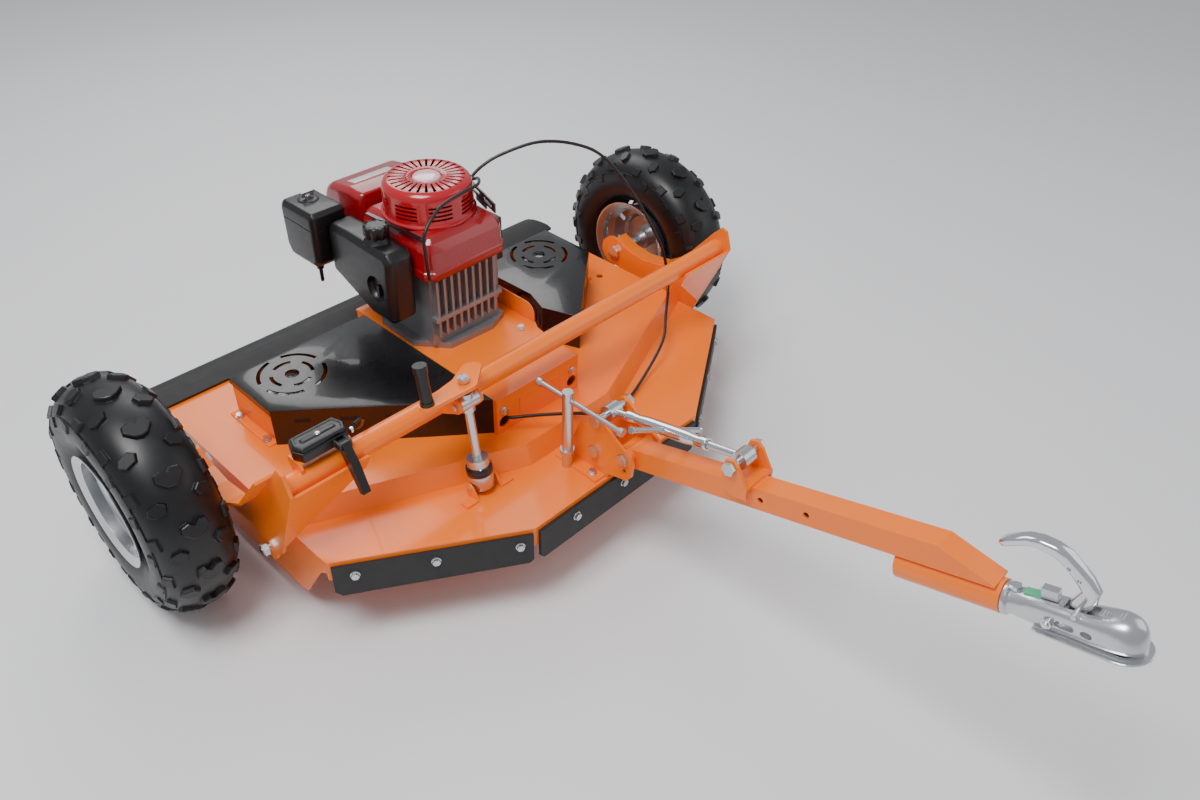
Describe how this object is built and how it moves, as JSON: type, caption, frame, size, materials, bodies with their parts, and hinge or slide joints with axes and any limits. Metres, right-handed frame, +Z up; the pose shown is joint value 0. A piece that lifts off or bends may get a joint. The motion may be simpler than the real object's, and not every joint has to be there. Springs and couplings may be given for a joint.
{
  "type": "towed rotary mower",
  "caption": "Tow-behind petrol rotary brush mower with hinged lift frame, knobbly tyres, height screw and adjustable drawbar with ball coupler.",
  "frame": {"origin": "point on the ground midway under the two wheels' contact patches", "axes": "+X to the mower's right as seen looking back from the coupler's left, -Y towards the tow vehicle, +Z up"},
  "size_m": [1.8136, 2.1077, 0.77],
  "materials": {
    "orange_paint": "gloss powder coat",
    "sheet_rubber": "matt",
    "tyre_rubber": "matt",
    "black_paint": "satin powder coat",
    "black_plastic": "satin",
    "red_paint": "gloss enamel",
    "red_plastic": "gloss",
    "cast_alloy": "as cast",
    "dark_steel": "heat-dulled",
    "blade_steel": "forged",
    "zinc_steel": "bright zinc"
  },
  "bodies": {
    "deck": {"deck_shell": "orange_paint", "apron_rib": "orange_paint", "rubber_skirts": "sheet_rubber", "rear_flap": "sheet_rubber", "belt_cover_left": "black_paint", "belt_cover_right": "black_paint", "engine_guard": "orange_paint", "cover_walls": "orange_paint", "front_beam": "orange_paint", "engine_platform": "orange_paint", "spindle_housings": "cast_alloy", "drawbar_head": "orange_paint", "engine_crankcase": "cast_alloy", "engine_shroud": "red_paint", "cylinder_cowl": "red_paint", "recoil_cover": "red_plastic", "fuel_tank": "black_plastic", "air_filter_box": "black_plastic", "muffler": "dark_steel", "throttle_bracket": "black_paint", "drive_belts": "sheet_rubber", "fixed_bolts": "zinc_steel", "screw_bracket": "orange_paint", "throttle_cable": "black_plastic"},
    "lift": {"lift_frame": "orange_paint", "stub_axles": "zinc_steel", "clutch_box": "black_plastic", "clutch_cable": "black_plastic"},
    "wheel_left": {"tyre_left": "tyre_rubber", "rim_left": "zinc_steel"},
    "wheel_right": {"tyre_right": "tyre_rubber", "rim_right": "zinc_steel"},
    "foot": {"screw_foot": "zinc_steel"},
    "screw": {"height_screw": "zinc_steel", "crank_plate": "orange_paint"},
    "grip": {"crank_grip": "black_plastic"},
    "trunnion": {"screw_trunnion": "zinc_steel"},
    "clutch_lever": {"clutch_lever": "black_plastic"},
    "drawbar": {"drawbar": "orange_paint", "drawbar_bolt": "zinc_steel"},
    "turnbuckle_rear": {"turnbuckle_rear": "zinc_steel"},
    "turnbuckle_barrel": {"turnbuckle_barrel": "zinc_steel"},
    "tommy_bar": {"tommy_bar": "zinc_steel"},
    "turnbuckle_front": {"turnbuckle_front": "zinc_steel"},
    "coupler": {"coupler_body": "zinc_steel"},
    "coupler_handle": {"coupler_handle": "zinc_steel"},
    "coupler_catch": {"coupler_catch": "zinc_steel"},
    "lock_post": {"lock_post": "zinc_steel"},
    "lock_bar": {"lock_bar": "zinc_steel"},
    "rotor_left": {"rotor_left": "zinc_steel", "blade_left": "blade_steel"},
    "rotor_middle": {"rotor_middle": "zinc_steel", "blade_middle": "blade_steel"},
    "rotor_right": {"rotor_right": "zinc_steel", "blade_right": "blade_steel"},
    "engine_shaft": {"crankshaft": "zinc_steel"},
    "fuel_cap": {"fuel_cap": "black_plastic"},
    "filter_knob": {"filter_knob": "zinc_steel"},
    "fuel_tap": {"fuel_tap": "black_plastic"}
  },
  "joints": [
    {"name": "lift_hinge", "type": "hinge", "parent": "deck", "child": "lift", "pos_m": [0, -0.25, 0.2], "axis": [1, 0, 0], "range_deg": [-6, 6], "deforming": ["clutch_cable"]},
    {"name": "wheel_left_spin", "type": "hinge", "parent": "lift", "child": "wheel_left", "pos_m": [-0.818, 0, 0.2795], "axis": [1, 0, 0], "continuous": true},
    {"name": "wheel_right_spin", "type": "hinge", "parent": "lift", "child": "wheel_right", "pos_m": [0.818, 0, 0.2795], "axis": [1, 0, 0], "continuous": true},
    {"name": "foot_tilt", "type": "hinge", "parent": "deck", "child": "foot", "pos_m": [-0.27, -0.468, 0.264], "axis": [1, 0, 0], "range_deg": [-7, 7]},
    {"name": "crank_spin", "type": "hinge", "parent": "foot", "child": "screw", "pos_m": [-0.27, -0.468, 0.264], "axis": [0, 0.1474, 0.9891], "range_deg": [-1300, 2115]},
    {"name": "grip_spin", "type": "hinge", "parent": "screw", "child": "grip", "pos_m": [-0.37, -0.43708, 0.51215], "axis": [0, 0.1474, 0.9891], "continuous": true},
    {"name": "trunnion_tilt", "type": "hinge", "parent": "lift", "child": "trunnion", "pos_m": [-0.27, -0.437, 0.472], "axis": [1, 0, 0], "range_deg": [-2, 2]},
    {"name": "clutch_lever_pull", "type": "hinge", "parent": "lift", "child": "clutch_lever", "pos_m": [-0.546, -0.394, 0.4961], "axis": [1, 0, 0], "range_deg": [0, 9], "stiffness_Nm_per_rad": 0.6, "springref_deg": -28.65},
    {"name": "drawbar_pitch", "type": "hinge", "parent": "deck", "child": "drawbar", "pos_m": [0, -0.6885, 0.32893], "axis": [1, 0, 0], "range_deg": [-8, 8]},
    {"name": "turnbuckle_rear_tilt", "type": "hinge", "parent": "deck", "child": "turnbuckle_rear", "pos_m": [0, -0.606, 0.39], "axis": [1, 0, 0], "range_deg": [-7, 7]},
    {"name": "barrel_spin", "type": "hinge", "parent": "turnbuckle_rear", "child": "turnbuckle_barrel", "pos_m": [0, -0.606, 0.39], "axis": [0, -0.9726, 0.2326], "range_deg": [-24, 80]},
    {"name": "tommy_bar_slide", "type": "slide", "parent": "turnbuckle_barrel", "child": "tommy_bar", "axis": [-0.8829, 0.1092, 0.4566], "range_m": [-0.095, 0.095]},
    {"name": "turnbuckle_front_tilt", "type": "hinge", "parent": "drawbar", "child": "turnbuckle_front", "pos_m": [0, -0.95694, 0.47393], "axis": [1, 0, 0], "range_deg": [-2, 2]},
    {"name": "coupler_swivel", "type": "hinge", "parent": "drawbar", "child": "coupler", "pos_m": [0, -1.48845, 0.50299], "axis": [0, -0.9568, 0.2907], "range_deg": [-60, 60]},
    {"name": "coupler_handle_lift", "type": "hinge", "parent": "coupler", "child": "coupler_handle", "pos_m": [0, -1.59263, 0.566], "axis": [1, 0, 0], "range_deg": [0, 30]},
    {"name": "coupler_catch_slide", "type": "slide", "parent": "coupler", "child": "coupler_catch", "axis": [0, -0.9568, 0.2907], "range_m": [0, 0.006], "stiffness_N_per_m": 300, "springref_m": -0.004},
    {"name": "lock_post_lift", "type": "slide", "parent": "deck", "child": "lock_post", "axis": [0, 0, 1], "range_m": [0, 0.09]},
    {"name": "lock_bar_slide", "type": "slide", "parent": "lock_post", "child": "lock_bar", "axis": [0, 1, 0], "range_m": [-0.05, 0.03]},
    {"name": "engine_spin", "type": "hinge", "parent": "deck", "child": "engine_shaft", "pos_m": [0, 0, 0.357], "axis": [0, 0, 1], "continuous": true},
    {"name": "rotor_left_spin", "type": "hinge", "parent": "deck", "child": "rotor_left", "pos_m": [-0.405, 0.05, 0.2], "axis": [0, 0, 1], "continuous": true},
    {"name": "rotor_middle_spin", "type": "hinge", "parent": "deck", "child": "rotor_middle", "pos_m": [0, -0.185, 0.2], "axis": [0, 0, 1], "continuous": true},
    {"name": "rotor_right_spin", "type": "hinge", "parent": "deck", "child": "rotor_right", "pos_m": [0.405, 0.05, 0.2], "axis": [0, 0, 1], "continuous": true},
    {"name": "fuel_cap_turn", "type": "hinge", "parent": "deck", "child": "fuel_cap", "pos_m": [-0.1603, -0.008, 0.66], "axis": [0, 0, 1], "range_deg": [0, 90]},
    {"name": "filter_knob_turn", "type": "hinge", "parent": "deck", "child": "filter_knob", "pos_m": [-0.1833, 0.2313, 0.68], "axis": [0, 0, 1], "continuous": true},
    {"name": "fuel_tap_turn", "type": "hinge", "parent": "deck", "child": "fuel_tap", "pos_m": [-0.19, -0.034, 0.538], "axis": [1, 0, 0], "range_deg": [0, 90]}
  ],
  "couplings": [
    {"joint": "lift_hinge", "follows": "crank_spin", "ratio": 0.002837},
    {"joint": "foot_tilt", "follows": "crank_spin", "ratio": 0.003255},
    {"joint": "trunnion_tilt", "follows": "crank_spin", "ratio": 0.0004184},
    {"joint": "turnbuckle_rear_tilt", "follows": "drawbar_pitch", "ratio": 0.818},
    {"joint": "turnbuckle_front_tilt", "follows": "drawbar_pitch", "ratio": -0.182},
    {"joint": "rotor_left_spin", "follows": "engine_spin", "ratio": 1.129},
    {"joint": "rotor_middle_spin", "follows": "engine_spin", "ratio": 1.129},
    {"joint": "rotor_right_spin", "follows": "engine_spin", "ratio": 1.129}
  ]
}
